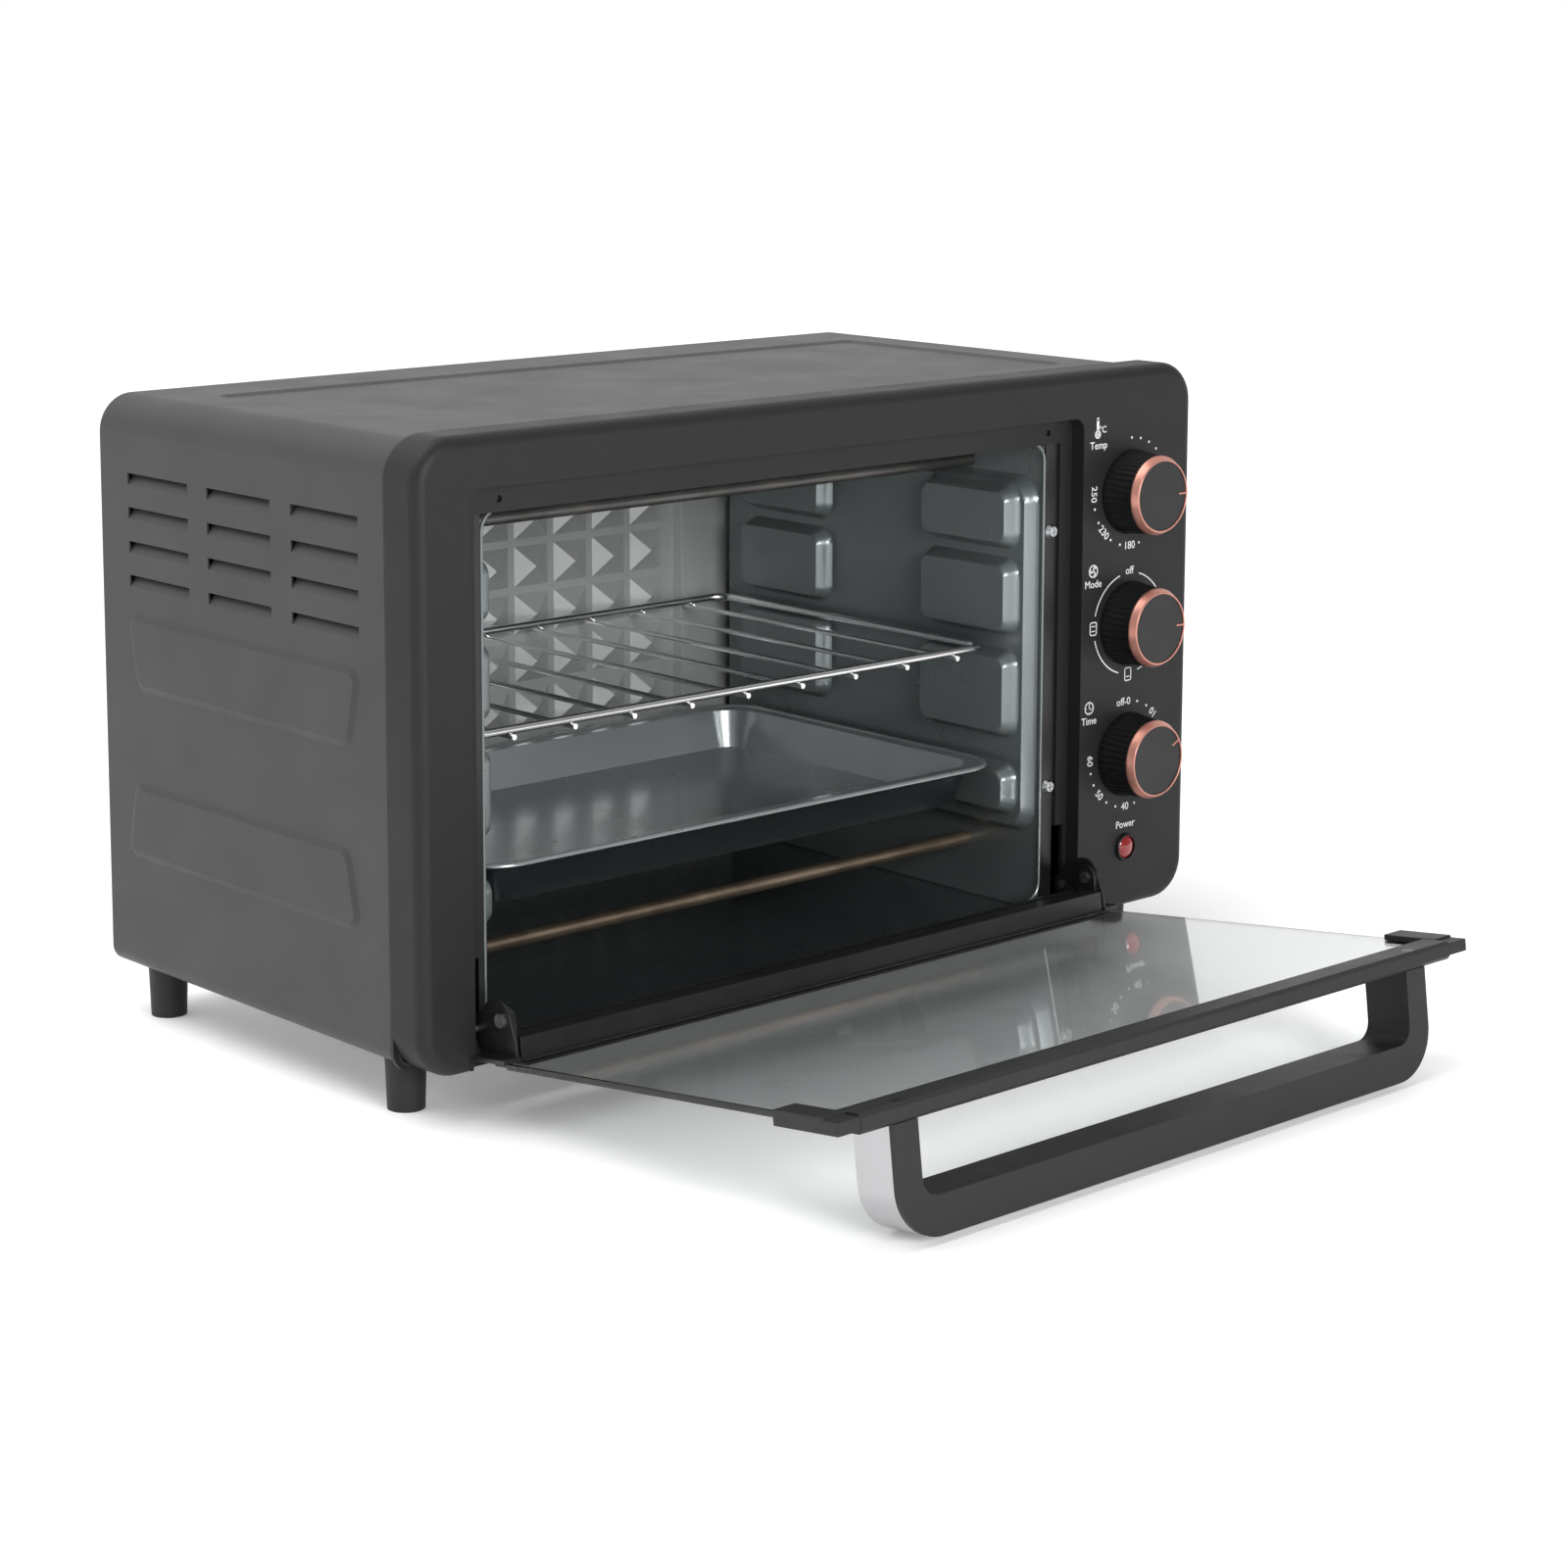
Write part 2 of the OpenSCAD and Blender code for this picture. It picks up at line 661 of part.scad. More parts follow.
// Channel that holds the glass's lower edge, with an end tab at each ear
module hinge_rail() {
    inner = ear_x - ear_t;
    bottom = glass_n + glass_t;
    tab_r = 6;
    half = inner - tab_t + 1;
    color(jet) door() {
        along_x(-half, 2 * half) {
            polygon([
                [-2, 27], [-glass_n + 1, 27], [-glass_n + 1, 29], [-glass_n, 29], [-glass_n, 24],
                [-bottom, 24], [-bottom, 30], [-bottom - 1.2, 30], [-bottom - 1.2, 8],
                [-2, 8], [-2, 10], [-glass_n + 1.5, 10], [-glass_n + 1.5, 24.8], [-3.5, 24.8],
                [-3.5, 14], [-2, 14]
            ]);
        }
        for (side = [-1, 1]) mirror([side < 0 ? 1 : 0, 0, 0]) difference() {
            along_x(inner - tab_t, tab_t) {
                translate([rivet_n, rivet_v]) circle(tab_r);
                translate([-glass_n + 1.2, rivet_v - tab_r])
                    square([glass_n + rivet_n - 1.2, 2 * tab_r]);
            }
            translate([0, rivet_n, rivet_v]) cylinder_x(0, ear_x + 1, rivet_r);
        }
    }
}

// A steel ear: turns on the hinge pin and is riveted to the hinge rail
module ear() {
    difference() {
        union() {
            along_x(ear_x - ear_t, ear_t) {
                circle(5);
                translate([rivet_n - 0.5, rivet_v - 3]) circle(9.5);
                polygon([
                    [0, -5], [5, 0], [9, 7], [rivet_n, 24.4], [-3, 27], [-glass_n, 27],
                    [-glass_n, 3], [-5, 0]
                ]);
            }
            translate([ear_x - ear_t, -glass_n, 7]) cube([9, 2.2, 21]);
        }
        cylinder_x(0, ear_x + 12, pin_r + run_gap);
        translate([0, rivet_n, rivet_v]) cylinder_x(0, ear_x + 1, rivet_r);
    }
}
module left_ear() { color(jet) door() mirror([1, 0, 0]) ear(); }
module right_ear() { color(jet) door() ear(); }

module ear_rivets() {
    head_t = 1.1;
    inner = ear_x - ear_t - tab_t;
    color(steel) door() for (side = [-1, 1]) mirror([side < 0 ? 1 : 0, 0, 0])
        translate([0, rivet_n, rivet_v]) {
            cylinder_x(inner - head_t / 2, ear_x - inner + head_t, rivet_r);
            cylinder_x(ear_x, head_t, 3);
            cylinder_x(inner - head_t, head_t, 2.8);
        }
}

// Rail at the glass's outer edge: carries the handle
module outer_rail() {
    bottom = glass_n + glass_t;
    color(jet) door() difference() {
        along_x(-rail_half + cap_w, 2 * (rail_half - cap_w)) polygon([
            [-glass_n + 2.4, 219], [-glass_n + 2.4, door_len - 1.5],
            [-glass_n + 0.9, door_len], [-bottom - 1, door_len], [-bottom - 2.5, door_len - 1.5],
            [-bottom - 2.5, 219], [-bottom, 219], [-bottom, 224.1], [-glass_n, 224.1],
            [-glass_n, 219]
        ]);
        for (side = [-1, 1]) translate([side * handle_screw_x, 0, handle_screw_v]) {
            cylinder_y(-40, 40, 1.8);
            cylinder_y(-glass_n + 0.9, 4, 3.1);
        }
    }
}

// Caps at both ends of the outer rail, which also hold the glass's side edges
module rail_end_caps() {
    bottom = glass_n + glass_t;
    under = 0.8;                 // wall under the glass
    over = 1.6;                  // wall over the glass
    color(jet) door() for (side = [-1, 1]) mirror([side < 0 ? 1 : 0, 0, 0]) difference() {
        along_x(rail_half - cap_w, cap_w) {
            translate([-bottom - under, cap_v])
                square([glass_t + under + over, door_len - cap_v]);
            translate([-glass_n + 0.5, cap_v]) square([over + 0.5, door_len - cap_v - 8]);
        }
        translate([0, -bottom, 190]) cube([glass_half, glass_t, 34.1]);
    }
}

// U-shaped outline of the handle in X and Y, seen along the door, open at the rail
module handle_outline(half, thick_side, thick_grip, n_out, r_out, r_in) {
    n_in = glass_n + glass_t + 2.5;
    difference() {
        handle_block(half, n_in, n_out, r_out);
        handle_block(half - thick_side, n_in - 1, n_out - thick_grip, r_in);
        translate([-half, -n_in]) square([2 * half, r_out]);
    }
}
module handle_block(half, n_in, n_out, r) {
    translate([-half, -n_out + r]) square([2 * half, n_out - r - n_in]);
    translate([-half + r, -n_out]) square([2 * (half - r), r + 1]);
    for (side = [-1, 1]) translate([side * (half - r), -n_out + r]) circle(r);
}

module handle_body() {
    color(jet) door() difference() {
        union() {
            translate([0, 0, handle_v0]) linear_extrude(lip_v - handle_v0)
                handle_outline(handle_half - trim_t, handle_w - trim_t, grip_t - trim_t,
                    handle_n - trim_t, handle_r - trim_t, 8);
            translate([0, 0, lip_v]) linear_extrude(door_len - 1 - lip_v)
                handle_outline(handle_half, handle_w, grip_t, handle_n, handle_r, 8);
        }
        for (side = [-1, 1]) translate([side * handle_screw_x, 0, handle_screw_v])
            cylinder_y(-glass_n - glass_t - 14, 16, 1.6);
    }
}
module handle_trim() {
    start = handle_v0 + 0.4;
    color(steel) door() translate([0, 0, start]) linear_extrude(lip_v - start)
        handle_outline(handle_half, trim_t, trim_t, handle_n, handle_r, handle_r - trim_t);
}
module handle_screws() {
    color(steel) door() for (side = [-1, 1])
        translate([side * handle_screw_x, 0, handle_screw_v]) {
            cylinder_y(-glass_n + 0.9, 1.5, 3);
            cylinder_y(-glass_n - glass_t - 13, 14.5 + glass_t, 1.6);
        }
}

// --- Knobs ---

module knob(index) {
    cabinet() translate([knob_x, 0, knob_zs[index]]) rotate([0, knob_turns[index], 0]) children();
}
module knob_barrel(index) {
    flange_l = 2;
    flange_gap = 0.5;
    barrel_l = knob_l - ring_l - flange_l - flange_gap;
    color(jet) knob(index) difference() {
        union() {
            cylinder_y(-flange_gap - flange_l, flange_l, knob_r);
            cylinder_y(-knob_l + ring_l, barrel_l, ring_r, knob_r - 0.6);
        }
        cylinder_y(-knob_l + 5, knob_l, shaft_r + 0.02);
        cylinder_y(-4, 5, knob_r - 4);
    }
}
module knob_ring(index) {
    color(rose_gold) knob(index) {
        difference() {
            union() {
                cylinder_y(-knob_l, ring_l - 0.8, ring_r - 1.7, ring_r);
                cylinder_y(-knob_l + ring_l - 0.8, 0.8, ring_r);
            }
            cylinder_y(-knob_l - 1, knob_l, ring_r - ring_w);
        }
        translate([-pointer_w / 2, -knob_l + 0.35, ring_r - ring_w - pointer_l])
            cube([pointer_w, 0.6, pointer_l + 0.2]);
    }
}
module knob_cap(index) {
    set_back = 0.6;
    groove = pointer_w + 0.1;
    color([0.10, 0.10, 0.11]) knob(index) difference() {
        cylinder_y(-knob_l + set_back, ring_l - set_back, ring_r - ring_w - 0.05);
        translate([-groove / 2, -knob_l, ring_r - ring_w - pointer_l - 0.1])
            cube([groove, 1.05, 8]);
    }
}
module knob_shaft(index) {
    color(steel) knob(index) cylinder_y(-knob_l + 5.5, knob_l - 5.5 + shaft_y, shaft_r);
}
module temperature_knob_barrel() { knob_barrel(0); }
module temperature_knob_ring() { knob_ring(0); }
module temperature_knob_cap() { knob_cap(0); }
module temperature_knob_shaft() { knob_shaft(0); }
module function_knob_barrel() { knob_barrel(1); }
module function_knob_ring() { knob_ring(1); }
module function_knob_cap() { knob_cap(1); }
module function_knob_shaft() { knob_shaft(1); }
module timer_knob_barrel() { knob_barrel(2); }
module timer_knob_ring() { knob_ring(2); }
module timer_knob_cap() { knob_cap(2); }
module timer_knob_shaft() { knob_shaft(2); }

// --- Rack and tray ---

// A quarter bend of the rack's frame wire, about the corner's centre
module bend(r, turn) {
    rotate([0, 0, turn]) rotate_extrude(angle = 90) translate([r, 0]) circle(wire_r);
}
module wire_rack() {
    bend_r = 10;
    x = rack_half - wire_r;
    y0 = rack_y + wire_r;
    y1 = rack_y + rack_d - wire_r;
    color(steel) cabinet() translate([cavity_x, 0, rack_z]) {
        for (side = [-1, 1])
            translate([side * x, y0 + bend_r, 0]) cylinder_y(0, y1 - y0 - 2 * bend_r, wire_r);
        for (y = [y0, y1])
            translate([0, y, 0]) cylinder_x(-x + bend_r, 2 * (x - bend_r), wire_r);
        translate([x - bend_r, y1 - bend_r, 0]) bend(bend_r, 0);
        translate([-x + bend_r, y1 - bend_r, 0]) bend(bend_r, 90);
        translate([-x + bend_r, y0 + bend_r, 0]) bend(bend_r, 180);
        translate([x - bend_r, y0 + bend_r, 0]) bend(bend_r, 270);
        for (i = [-4:4])
            translate([i * cross_pitch, rack_y - 1.5, -wire_r - cross_r + 0.4])
                cylinder_y(0, rack_d + 3, cross_r);
    }
}

module tray_block(inset, z0, z1, slope) {
    w = 2 * rack_half - 2 * inset;
    d = tray_d - 2 * inset;
    corner = 22 - inset / 2;
    hull() {
        for (side = [-1, 1], end = [-1, 1]) {
            translate([side * (w / 2 - corner), end * (d / 2 - corner), z1 - eps])
                cylinder(h = eps, r = corner, $fn = 40);
            translate([side * (w / 2 - corner), end * (d / 2 - corner), z0])
                cylinder(h = eps, r = corner - slope, $fn = 40);
        }
    }
}
module baking_tray() {
    rim = 8;
    rim_r = 1.5;
    t = 1;
    bend_r = 22 - rim_r;
    x = rack_half - rim_r;
    y = tray_d / 2 - rim_r;
    color([0.42, 0.45, 0.46]) cabinet() translate([cavity_x, tray_y + tray_d / 2, tray_z]) {
        difference() {
            union() {
                tray_block(1, -0.5, 0.5, 0);
                tray_block(rim, -tray_depth, 0, 6);
            }
            tray_block(rim + t, -tray_depth + t, 1, 6);
        }
        for (side = [-1, 1]) {
            translate([side * x, 0, 0]) cylinder_y(-y + bend_r, 2 * (y - bend_r), rim_r);
            translate([0, side * y, 0]) cylinder_x(-x + bend_r, 2 * (x - bend_r), rim_r);
        }
        for (turn = [0, 1, 2, 3]) {
            sx = turn == 0 || turn == 3 ? 1 : -1;
            sy = turn < 2 ? 1 : -1;
            translate([sx * (x - bend_r), sy * (y - bend_r), 0]) rotate([0, 0, turn * 90])
                rotate_extrude(angle = 90) translate([bend_r, 0]) circle(rim_r, $fn = 24);
        }
    }
}

wrapper();
front_frame();
back_cover();
bottom_panel();
foot_front_left();
foot_front_right();
foot_rear_left();
foot_rear_right();
foot_screws();
cavity_flange();
cavity_left_wall();
cavity_right_wall();
cavity_back_wall();
cavity_ceiling();
cavity_floor();
upper_heater();
lower_heater();
heater_insulators();
flange_screws();
back_screws();
hinge_pins();
heat_shield();
thermostat();
function_switch();
timer_unit();
timer_bell();
lamp_bezel();
lamp_lens();
terminal_block();
wiring();
cord_gland();
door_glass();
hinge_rail();
outer_rail();
left_ear();
right_ear();
ear_rivets();
rail_end_caps();
handle_body();
handle_trim();
handle_screws();
temperature_knob_barrel();
temperature_knob_ring();
temperature_knob_cap();
temperature_knob_shaft();
function_knob_barrel();
function_knob_ring();
function_knob_cap();
function_knob_shaft();
timer_knob_barrel();
timer_knob_ring();
timer_knob_cap();
timer_knob_shaft();
wire_rack();
baking_tray();
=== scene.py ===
"""Looks for the toaster oven, in metres: materials, fine visible detail, camera, light and floor.

Lengths written as a number * MM are millimetres of the real object.
"""

import json
import math

import bmesh
import bpy
from mathutils import Matrix, Vector


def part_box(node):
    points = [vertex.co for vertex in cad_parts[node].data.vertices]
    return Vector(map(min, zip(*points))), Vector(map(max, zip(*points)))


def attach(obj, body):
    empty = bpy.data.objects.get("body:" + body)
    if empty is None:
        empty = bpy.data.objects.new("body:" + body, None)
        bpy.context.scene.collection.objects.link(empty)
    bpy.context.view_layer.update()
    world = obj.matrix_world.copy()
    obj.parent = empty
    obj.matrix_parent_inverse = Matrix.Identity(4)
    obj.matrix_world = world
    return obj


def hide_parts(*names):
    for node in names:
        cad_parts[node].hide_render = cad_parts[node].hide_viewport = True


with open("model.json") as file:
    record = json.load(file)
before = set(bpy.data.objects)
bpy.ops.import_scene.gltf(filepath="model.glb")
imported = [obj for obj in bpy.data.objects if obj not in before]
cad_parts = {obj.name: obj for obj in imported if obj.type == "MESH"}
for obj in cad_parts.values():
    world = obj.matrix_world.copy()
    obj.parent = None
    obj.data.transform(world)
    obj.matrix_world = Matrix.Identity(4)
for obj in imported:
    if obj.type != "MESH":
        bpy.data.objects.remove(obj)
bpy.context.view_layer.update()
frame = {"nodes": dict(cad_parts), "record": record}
nodes = frame["nodes"]
MM = 0.001
KNOBS = ("temperature", "function", "timer")
# A rectangle's corners, clockwise from the top right: side in X, side in Z and the angle, in
# degrees clockwise from the top, where the corner's arc starts.
CORNERS = ((1, 1, 0), (1, -1, 90), (-1, -1, 180), (-1, 1, 270))


def box_centre(node):
    low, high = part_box(node)
    return (low + high) / 2


# --- Materials ---


def map_range(tree, source, target):
    """A Map Range node from the source range to the target range."""
    node = tree.nodes.new("ShaderNodeMapRange")
    node.inputs["From Min"].default_value, node.inputs["From Max"].default_value = source
    node.inputs["To Min"].default_value, node.inputs["To Max"].default_value = target
    return node


NOISE_RANGE = (0.3, 0.7)           # the part of a noise texture's range that remap() stretches
MOTTLE_DETAIL, SCUFF_DETAIL, GRAIN_DETAIL = 4.0, 5.0, 2.0
SMOOTHEST = 0.02                   # lowest roughness that scuff() may reach
UNDERSIDE_SHADE_NORMAL = (-0.12, -0.03)  # upward share of the normal over which the painted shade on downward faces fades out


class Finish:
    """A Principled material with helpers for mottling, roughness and grain."""

    def __init__(self, name, colour, roughness, metallic=0.0):
        self.material = bpy.data.materials.new(name)
        self.material.use_nodes = True
        self.tree = self.material.node_tree
        self.shader = self.tree.nodes["Principled BSDF"]
        self.colour = colour
        self.shader.inputs["Base Color"].default_value = (*colour, 1.0)
        self.shader.inputs["Roughness"].default_value = roughness
        self.shader.inputs["Metallic"].default_value = metallic
        self.roughness = roughness
        self.place = self.tree.nodes.new("ShaderNodeTexCoord")
        self.last_bump = None

    def set(self, **values):
        for key, value in values.items():
            self.shader.inputs[key.replace("_", " ")].default_value = value
        return self

    def noise(self, scale, detail):
        texture = self.tree.nodes.new("ShaderNodeTexNoise")
        texture.inputs["Scale"].default_value = scale
        texture.inputs["Detail"].default_value = detail
        self.tree.links.new(self.place.outputs["Object"], texture.inputs["Vector"])
        return texture.outputs["Fac"]

    def remap(self, value, source, target):
        """value, taken from the source range to the target range."""
        ramp = map_range(self.tree, source, target)
        self.tree.links.new(value, ramp.inputs["Value"])
        return ramp.outputs["Result"]

    def mottle(self, scale, amount, tint=None):
        """Colour that drifts between a darker and a lighter shade."""
        mix = self.tree.nodes.new("ShaderNodeMix")
        mix.data_type = "RGBA"
        light = tint or tuple(min(1.0, c * (1 + amount)) for c in self.colour)
        mix.inputs["A"].default_value = (*(c * (1 - amount) for c in self.colour), 1.0)
        mix.inputs["B"].default_value = (*light, 1.0)
        drift = self.remap(self.noise(scale, MOTTLE_DETAIL), NOISE_RANGE, (0.0, 1.0))
        self.tree.links.new(drift, mix.inputs["Factor"])
        self.tree.links.new(mix.outputs["Result"], self.shader.inputs["Base Color"])
        return self

    def shade_undersides(self, colour):
        """Painted shade: another colour where the surface faces downwards, standing in for the
        shadow that falls under a thing.
        """
        split = self.tree.nodes.new("ShaderNodeSeparateXYZ")
        self.tree.links.new(self.place.outputs["Normal"], split.inputs["Vector"])
        share = self.remap(split.outputs["Z"], UNDERSIDE_SHADE_NORMAL, (1.0, 0.0))
        mix = self.tree.nodes.new("ShaderNodeMix")
        mix.data_type = "RGBA"
        mix.inputs["B"].default_value = (*colour, 1.0)
        base = self.shader.inputs["Base Color"]
        self.tree.links.new(base.links[0].from_socket, mix.inputs["A"])
        self.tree.links.new(share, mix.inputs["Factor"])
        self.tree.links.new(mix.outputs["Result"], base)
        return self

    def scuff(self, scale, amount):
        """Roughness that varies about its own value."""
        target = (max(SMOOTHEST, self.roughness - amount), self.roughness + amount)
        value = self.remap(self.noise(scale, SCUFF_DETAIL), NOISE_RANGE, target)
        self.tree.links.new(value, self.shader.inputs["Roughness"])
        return self

    def grain(self, scale, height):
        """Fine relief, height in metres."""
        bump = self.tree.nodes.new("ShaderNodeBump")
        bump.inputs["Distance"].default_value = height
        self.tree.links.new(self.noise(scale, GRAIN_DETAIL), bump.inputs["Height"])
        if self.last_bump:
            self.tree.links.new(self.last_bump.outputs["Normal"], bump.inputs["Normal"])
        self.tree.links.new(bump.outputs["Normal"], self.shader.inputs["Normal"])
        self.last_bump = bump
        return self


def make_finishes():
    """Every finish by name. A call gives scale and amount; grain's height is in metres."""
    finishes = {}

    def add(name, colour, roughness, metallic=0.0):
        finishes[name] = Finish(name, colour, roughness, metallic)
        return finishes[name]

    add("charcoal_paint", (0.034, 0.034, 0.036), 0.50).mottle(9, 0.05).scuff(30, 0.04).grain(
        1500, 0.00005).grain(420, 0.00003)
    # frame_plastic: its colour, darker than charcoal_paint, is painted shade standing in for the
    # shade on the frame's front face.
    add("frame_plastic", (0.0145, 0.0145, 0.015), 0.53).mottle(12, 0.06).scuff(40, 0.04).grain(
        2200, 0.00005).set(Specular_IOR_Level=0.30)
    add("enamel", (0.190, 0.214, 0.216), 0.31, 0.45).mottle(16, 0.08).scuff(18, 0.05).grain(
        260, 0.00003).set(Coat_Weight=0.5, Coat_Roughness=0.16)
    add("back_enamel", (0.40, 0.41, 0.41), 0.46, 0.35).mottle(22, 0.08).scuff(25, 0.05).grain(
        240, 0.00003).set(Coat_Weight=0.4, Coat_Roughness=0.18)
    add("floor_enamel", (0.056, 0.068, 0.070), 0.26, 0.30).mottle(10, 0.12).scuff(14, 0.05).grain(
        200, 0.00003).set(Coat_Weight=0.6, Coat_Roughness=0.12)
    # tray_enamel's dark colour on downward faces is painted shade for the shadow under the tray's
    # rim.
    add("tray_enamel", (0.40, 0.425, 0.43), 0.26, 0.65).mottle(14, 0.06).shade_undersides(
        (0.035, 0.042, 0.044)).scuff(20, 0.04).grain(300, 0.00003).set(
        Coat_Weight=0.5, Coat_Roughness=0.12)
    add("black_steel", (0.010, 0.010, 0.011), 0.32).mottle(25, 0.2).scuff(35, 0.05).grain(
        900, 0.00003)
    add("zinc_steel", (0.56, 0.57, 0.58), 0.30, 1.0).mottle(60, 0.10).scuff(120, 0.08).grain(
        700, 0.00004)
    add("chrome", (0.84, 0.84, 0.85), 0.20, 1.0).mottle(40, 0.04).scuff(50, 0.04).grain(
        500, 0.00001)
    add("trim_chrome", (0.47, 0.47, 0.48), 0.17, 1.0).mottle(40, 0.04).scuff(50, 0.04).grain(
        500, 0.00001)
    add("heater_steel", (0.36, 0.28, 0.21), 0.38, 0.9).mottle(
        35, 0.25, tint=(0.52, 0.40, 0.29)).scuff(60, 0.10).grain(900, 0.00005)
    add("dark_heater_steel", (0.11, 0.105, 0.10), 0.38, 0.8).mottle(
        35, 0.25).scuff(60, 0.10).grain(900, 0.00005)
    add("ceramic", (0.80, 0.78, 0.72), 0.55).mottle(80, 0.05).scuff(60, 0.08).grain(900, 0.00010)
    add("black_plastic", (0.0045, 0.0045, 0.005), 0.46).mottle(30, 0.10).scuff(60, 0.05).grain(
        2600, 0.00004).set(Specular_IOR_Level=0.4)
    add("handle_plastic", (0.012, 0.012, 0.013), 0.50).mottle(30, 0.06).scuff(60, 0.04).grain(
        2400, 0.00004).set(Specular_IOR_Level=0.4)
    add("cap_plastic", (0.006, 0.006, 0.007), 0.42).mottle(50, 0.06).scuff(80, 0.05).grain(
        2600, 0.00003)
    add("rose_gold", (0.62, 0.285, 0.225), 0.33, 0.80).mottle(70, 0.05).scuff(90, 0.05).grain(
        1800, 0.00002)
    add("red_plastic", (0.42, 0.012, 0.016), 0.12).mottle(90, 0.15).scuff(60, 0.04).grain(
        700, 0.00008).set(Coat_Weight=0.8, Coat_Roughness=0.05, Transmission_Weight=0.35)
    add("foot_rubber", (0.008, 0.008, 0.008), 0.60).mottle(60, 0.12).scuff(70, 0.06).grain(
        1400, 0.00008)
    add("bakelite", (0.62, 0.58, 0.46), 0.48).mottle(60, 0.08).scuff(60, 0.06).grain(900, 0.00006)
    add("wire_cover", (0.50, 0.46, 0.36), 0.60).mottle(90, 0.08).scuff(90, 0.06).grain(
        1200, 0.00008)
    add("clear_glass", (0.74, 0.76, 0.76), 0.03).mottle(6, 0.03).scuff(20, 0.01).set(
        Transmission_Weight=1.0, IOR=1.5)
    add("dial_print", (0.78, 0.78, 0.78), 0.55).mottle(400, 0.06).scuff(300, 0.08).grain(
        3000, 0.00002)
    add("table", (0.97, 0.97, 0.97), 0.70).mottle(3, 0.004).scuff(8, 0.04).set(
        Emission_Color=(1, 1, 1, 1), Emission_Strength=0.14)
    return finishes


finishes = make_finishes()


def paint(thing, name):
    """One finish on every material slot of a piece."""
    material = finishes[name].material
    if not thing.data.materials:
        thing.data.materials.append(material)
    for index in range(len(thing.data.materials)):
        thing.data.materials[index] = material


NODE_FINISHES = {
    "cavity_back_wall": "back_enamel",
    "cavity_floor": "floor_enamel",
    "handle_body": "handle_plastic",
    "handle_screws": "black_steel",
    "upper_heater": "dark_heater_steel",
    "handle_trim": "trim_chrome",
    "outer_rail": "handle_plastic",
    "rail_end_caps": "handle_plastic",
}
slots = {part["node"]: part["material_slot"] for part in frame["record"]["subparts"]}
for name, node in nodes.items():
    paint(node, NODE_FINISHES.get(name, slots[name]))


# --- Softer edges on the CAD nodes ---


WELD_DISTANCE = 2e-6
FLAT_ANGLE = 0.4     # degrees under which two faces count as one flat face
CREASE_ANGLE = 32    # degrees over which an edge is bevelled
PRESSED_ANGLE = 12   # the same on nodes with shallow pressed slopes


def soften(name, width, segments, angle=CREASE_ANGLE):
    """Rounds a node's sharp edges with modifiers: weld, merge flat faces, bevel. Width in mm."""
    node = nodes[name]
    for polygon in node.data.polygons:
        polygon.use_smooth = True
    weld = node.modifiers.new("weld", "WELD")
    weld.merge_threshold = WELD_DISTANCE
    flat = node.modifiers.new("flat", "DECIMATE")
    flat.decimate_type = "DISSOLVE"
    flat.angle_limit = math.radians(FLAT_ANGLE)
    bevel = node.modifiers.new("bevel", "BEVEL")
    bevel.width = width * MM
    bevel.segments = segments
    bevel.limit_method = "ANGLE"
    bevel.angle_limit = math.radians(angle)
    bevel.harden_normals = True
    node.modifiers.new("normals", "WEIGHTED_NORMAL").keep_sharp = True


# Bevel width in mm, segments and, where it isn't CREASE_ANGLE, the angle.
SOFT_NODES = {
    "wrapper": (0.4, 2, PRESSED_ANGLE),
    "front_frame": (0.8, 3),
    "cavity_flange": (0.3, 2),
    "handle_body": (2.2, 4),
    "hinge_rail": (0.4, 2),
    "outer_rail": (0.6, 3),
    "rail_end_caps": (0.7, 3),
    "left_ear": (0.25, 2),
    "right_ear": (0.25, 2),
    "door_glass": (0.6, 3),
    "cavity_back_wall": (0.4, 3, PRESSED_ANGLE),
    "heater_insulators": (0.4, 2),
    "lamp_bezel": (0.4, 3),
    "baking_tray": (0.6, 2),
}
for kind in KNOBS:
    SOFT_NODES[kind + "_knob_ring"] = (0.45, 3)
    SOFT_NODES[kind + "_knob_cap"] = (0.3, 2)
for name, settings in SOFT_NODES.items():
    soften(name, *settings)


# --- New pieces ---


SMOOTH_ANGLE = 35   # degrees over which an edge of a new piece stays sharp


def add_mesh(name, builder, body, finish):
    """A piece from bmesh code, riding on a body."""
    mesh = bpy.data.meshes.new(name)
    work = bmesh.new()
    builder(work)
    bmesh.ops.recalc_face_normals(work, faces=work.faces[:])
    work.to_mesh(mesh)
    work.free()
    mesh.shade_smooth()
    mesh.set_sharp_from_angle(angle=math.radians(SMOOTH_ANGLE))
    piece = bpy.data.objects.new(name, mesh)
    bpy.context.scene.collection.objects.link(piece)
    paint(piece, finish)
    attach(piece, body)
    return piece


def join_rings(work, rings):
    """Faces between each ring of vertices and the next, and between the last and the first."""
    count = len(rings[0])
    for step, here in enumerate(rings):
        there = rings[(step + 1) % len(rings)]
        for index in range(count):
            after = (index + 1) % count
            work.faces.new((here[index], here[after], there[after], there[index]))


def circle_points(centre, radius, start=0, end=360, steps=48):
    """Points on a circle, angles in degrees clockwise from the top."""
    return [(centre[0] + radius * math.sin(math.radians(start + (end - start) * k / steps)),
             centre[1] + radius * math.cos(math.radians(start + (end - start) * k / steps)))
            for k in range(steps + 1)]


def rounded_outline(low, high, top_radius, bottom_radius, steps):
    """Points clockwise round an upright (x, z) rectangle with rounded corners."""
    points = []
    for x, z, start in CORNERS:
        radius = top_radius if z > 0 else bottom_radius
        middle = ((high[0] if x > 0 else low[0]) - x * radius,
                  (high[1] if z > 0 else low[1]) - z * radius)
        points += circle_points(middle, radius, start, start + 90, steps)
    return points


